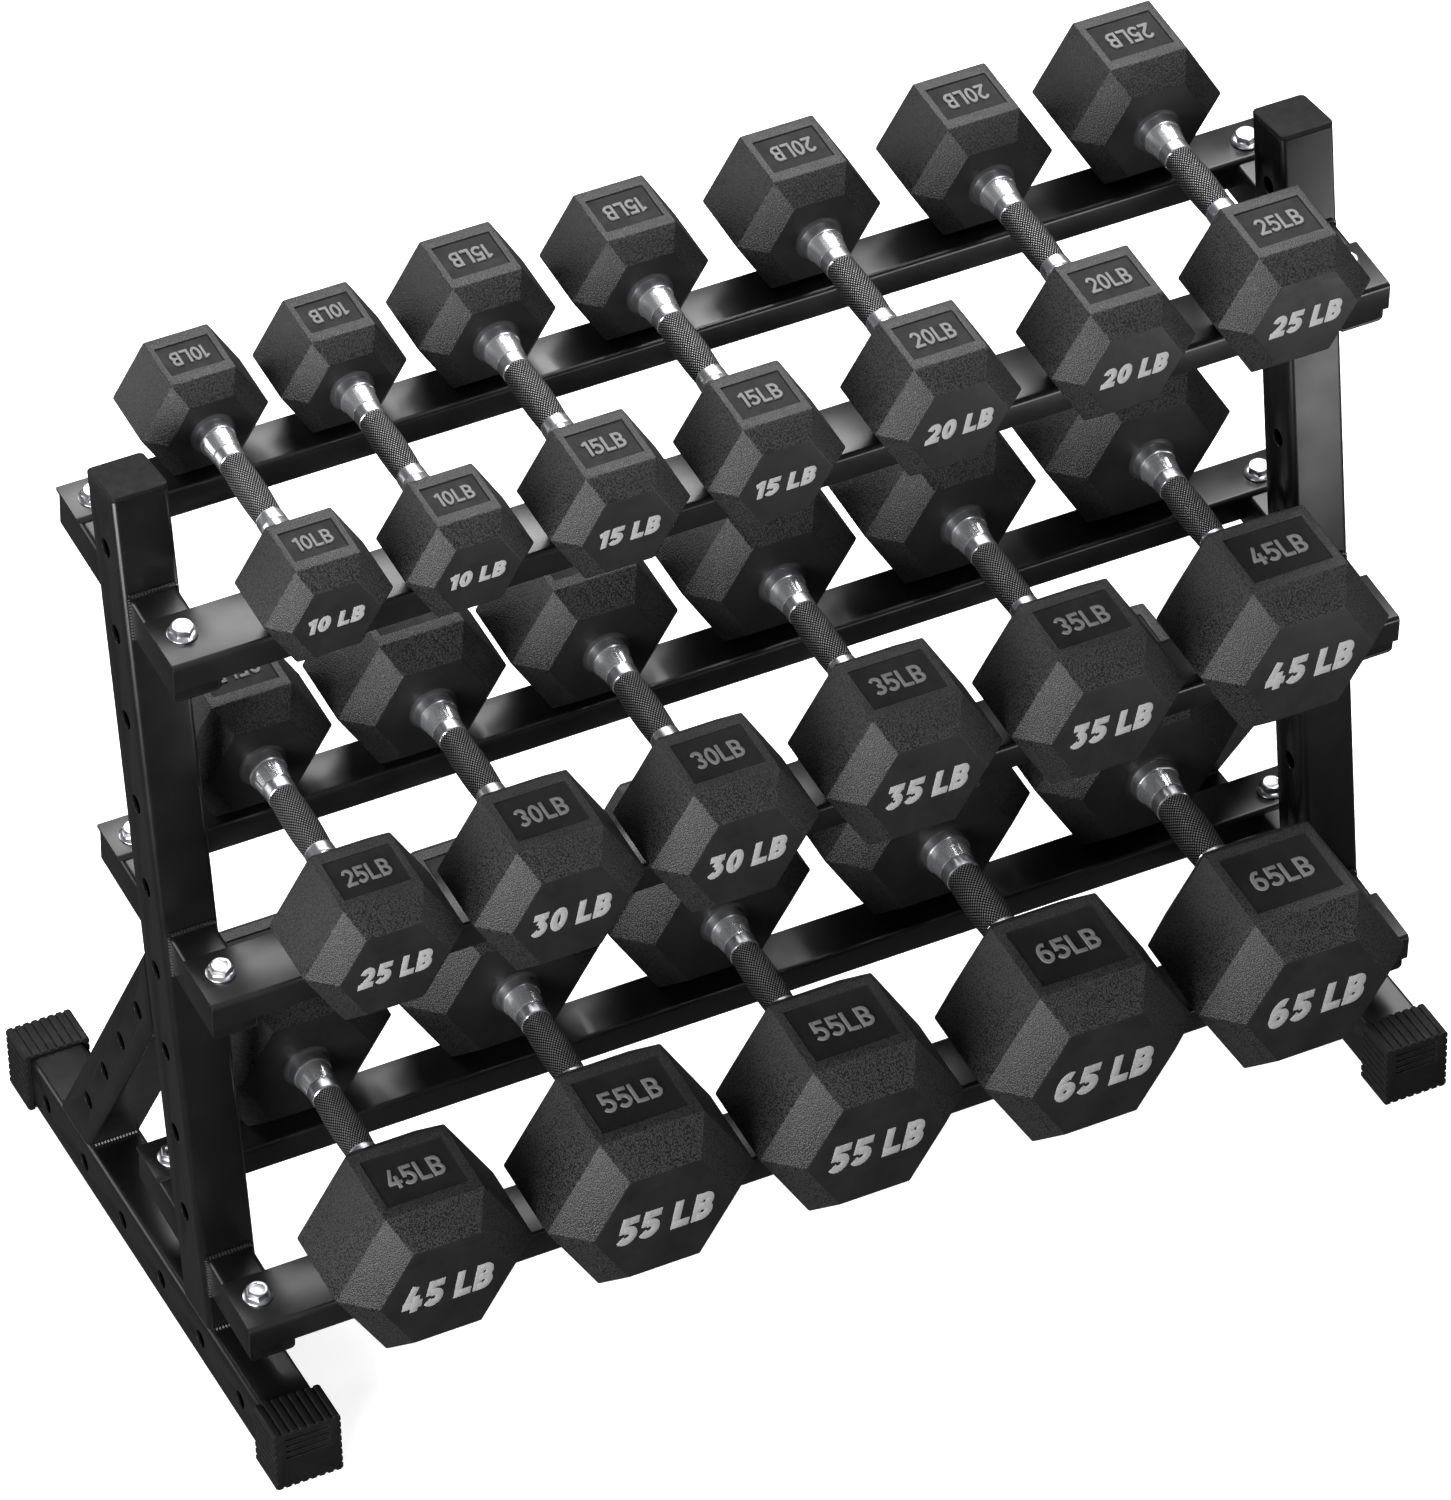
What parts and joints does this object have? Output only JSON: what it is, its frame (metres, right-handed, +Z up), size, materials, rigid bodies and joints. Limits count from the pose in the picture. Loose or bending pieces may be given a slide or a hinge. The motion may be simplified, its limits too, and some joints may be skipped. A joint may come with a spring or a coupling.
{
  "type": "dumbbell rack",
  "caption": "Free-standing three-tier dumbbell rack with leaning perforated uprights, braced feet and sloping angle-rail shelves, loaded with pairs of rubber hex dumbbells.",
  "frame": {"origin": "on the floor under the middle of the loaded rack's bounding box", "axes": "+X along the shelves, to the right as seen from the open front; -Y out of the front, where the shelves slope down; +Z up"},
  "size_m": [1.0064, 0.574, 0.8458],
  "materials": {
    "frame_coating": "satin black powder coat on steel tube",
    "rail_coating": "satin charcoal powder coat on steel angle",
    "black_moulding": "matte black moulded plastic",
    "bright_zinc": "polished bright zinc plate",
    "dumbbell_body": "matte black rubber skin over cast iron heads",
    "head_rubber": "matte black rubber with a fine pebble grain",
    "label_paint": "matte light grey paint",
    "handle_chrome": "polished chrome",
    "grip_steel": "satin dark diamond knurling"
  },
  "bodies": {
    "rack": {"left_foot_tube": "frame_coating", "left_upright": "frame_coating", "left_rear_brace": "frame_coating", "left_top_cap": "black_moulding", "left_front_foot_cap": "black_moulding", "left_rear_foot_cap": "black_moulding", "right_foot_tube": "frame_coating", "right_upright": "frame_coating", "right_rear_brace": "frame_coating", "right_top_cap": "black_moulding", "right_front_foot_cap": "black_moulding", "right_rear_foot_cap": "black_moulding", "bottom_front_rail": "rail_coating", "bottom_left_front_arm": "frame_coating", "bottom_left_front_bolt": "bright_zinc", "bottom_right_front_arm": "frame_coating", "bottom_right_front_bolt": "bright_zinc", "bottom_rear_rail": "rail_coating", "bottom_left_rear_arm": "frame_coating", "bottom_left_rear_bolt": "bright_zinc", "bottom_right_rear_arm": "frame_coating", "bottom_right_rear_bolt": "bright_zinc", "middle_front_rail": "rail_coating", "middle_left_front_arm": "frame_coating", "middle_left_front_bolt": "bright_zinc", "middle_right_front_arm": "frame_coating", "middle_right_front_bolt": "bright_zinc", "middle_rear_rail": "rail_coating", "middle_left_rear_arm": "frame_coating", "middle_left_rear_bolt": "bright_zinc", "middle_right_rear_arm": "frame_coating", "middle_right_rear_bolt": "bright_zinc", "top_front_rail": "rail_coating", "top_left_front_arm": "frame_coating", "top_left_front_bolt": "bright_zinc", "top_right_front_arm": "frame_coating", "top_right_front_bolt": "bright_zinc", "top_rear_rail": "rail_coating", "top_left_rear_arm": "frame_coating", "top_left_rear_bolt": "bright_zinc", "top_right_rear_arm": "frame_coating", "top_right_rear_bolt": "bright_zinc"},
    "dumbbell_45lb_b": {"dumbbell_45lb_b": "dumbbell_body"},
    "dumbbell_55lb_a": {"dumbbell_55lb_a": "dumbbell_body"},
    "dumbbell_55lb_b": {"dumbbell_55lb_b": "dumbbell_body"},
    "dumbbell_65lb_a": {"dumbbell_65lb_a": "dumbbell_body"},
    "dumbbell_65lb_b": {"dumbbell_65lb_b": "dumbbell_body"},
    "dumbbell_25lb_b": {"dumbbell_25lb_b": "dumbbell_body"},
    "dumbbell_30lb_a": {"dumbbell_30lb_a": "dumbbell_body"},
    "dumbbell_30lb_b": {"dumbbell_30lb_b": "dumbbell_body"},
    "dumbbell_35lb_a": {"dumbbell_35lb_a": "dumbbell_body"},
    "dumbbell_35lb_b": {"dumbbell_35lb_b": "dumbbell_body"},
    "dumbbell_45lb_a": {"dumbbell_45lb_a": "dumbbell_body"},
    "dumbbell_10lb_a": {"dumbbell_10lb_a": "dumbbell_body"},
    "dumbbell_10lb_b": {"dumbbell_10lb_b": "dumbbell_body"},
    "dumbbell_15lb_a": {"dumbbell_15lb_a": "dumbbell_body"},
    "dumbbell_15lb_b": {"dumbbell_15lb_b": "dumbbell_body"},
    "dumbbell_20lb_a": {"dumbbell_20lb_a": "dumbbell_body"},
    "dumbbell_20lb_b": {"dumbbell_20lb_b": "dumbbell_body"},
    "dumbbell_25lb_a": {"dumbbell_25lb_a": "dumbbell_body"}
  },
  "joints": [
    {"name": "dumbbell_45lb_b_lift_out", "type": "slide", "parent": "rack", "child": "dumbbell_45lb_b", "axis": [0, -0.9563, 0.2924], "range_m": [0, 0.4]},
    {"name": "dumbbell_55lb_a_lift_out", "type": "slide", "parent": "rack", "child": "dumbbell_55lb_a", "axis": [0, -0.9563, 0.2924], "range_m": [0, 0.4]},
    {"name": "dumbbell_55lb_b_lift_out", "type": "slide", "parent": "rack", "child": "dumbbell_55lb_b", "axis": [0, -0.9563, 0.2924], "range_m": [0, 0.4]},
    {"name": "dumbbell_65lb_a_lift_out", "type": "slide", "parent": "rack", "child": "dumbbell_65lb_a", "axis": [0, -0.9563, 0.2924], "range_m": [0, 0.4]},
    {"name": "dumbbell_65lb_b_lift_out", "type": "slide", "parent": "rack", "child": "dumbbell_65lb_b", "axis": [0, -0.9563, 0.2924], "range_m": [0, 0.4]},
    {"name": "dumbbell_25lb_b_lift_out", "type": "slide", "parent": "rack", "child": "dumbbell_25lb_b", "axis": [0, -0.9563, 0.2924], "range_m": [0, 0.4]},
    {"name": "dumbbell_30lb_a_lift_out", "type": "slide", "parent": "rack", "child": "dumbbell_30lb_a", "axis": [0, -0.9563, 0.2924], "range_m": [0, 0.4]},
    {"name": "dumbbell_30lb_b_lift_out", "type": "slide", "parent": "rack", "child": "dumbbell_30lb_b", "axis": [0, -0.9563, 0.2924], "range_m": [0, 0.4]},
    {"name": "dumbbell_35lb_a_lift_out", "type": "slide", "parent": "rack", "child": "dumbbell_35lb_a", "axis": [0, -0.9563, 0.2924], "range_m": [0, 0.4]},
    {"name": "dumbbell_35lb_b_lift_out", "type": "slide", "parent": "rack", "child": "dumbbell_35lb_b", "axis": [0, -0.9563, 0.2924], "range_m": [0, 0.4]},
    {"name": "dumbbell_45lb_a_lift_out", "type": "slide", "parent": "rack", "child": "dumbbell_45lb_a", "axis": [0, -0.9563, 0.2924], "range_m": [0, 0.4]},
    {"name": "dumbbell_10lb_a_lift_out", "type": "slide", "parent": "rack", "child": "dumbbell_10lb_a", "axis": [0, -0.9563, 0.2924], "range_m": [0, 0.4]},
    {"name": "dumbbell_10lb_b_lift_out", "type": "slide", "parent": "rack", "child": "dumbbell_10lb_b", "axis": [0, -0.9563, 0.2924], "range_m": [0, 0.4]},
    {"name": "dumbbell_15lb_a_lift_out", "type": "slide", "parent": "rack", "child": "dumbbell_15lb_a", "axis": [0, -0.9563, 0.2924], "range_m": [0, 0.4]},
    {"name": "dumbbell_15lb_b_lift_out", "type": "slide", "parent": "rack", "child": "dumbbell_15lb_b", "axis": [0, -0.9563, 0.2924], "range_m": [0, 0.4]},
    {"name": "dumbbell_20lb_a_lift_out", "type": "slide", "parent": "rack", "child": "dumbbell_20lb_a", "axis": [0, -0.9563, 0.2924], "range_m": [0, 0.4]},
    {"name": "dumbbell_20lb_b_lift_out", "type": "slide", "parent": "rack", "child": "dumbbell_20lb_b", "axis": [0, -0.9563, 0.2924], "range_m": [0, 0.4]},
    {"name": "dumbbell_25lb_a_lift_out", "type": "slide", "parent": "rack", "child": "dumbbell_25lb_a", "axis": [0, -0.9563, 0.2924], "range_m": [0, 0.4]}
  ]
}
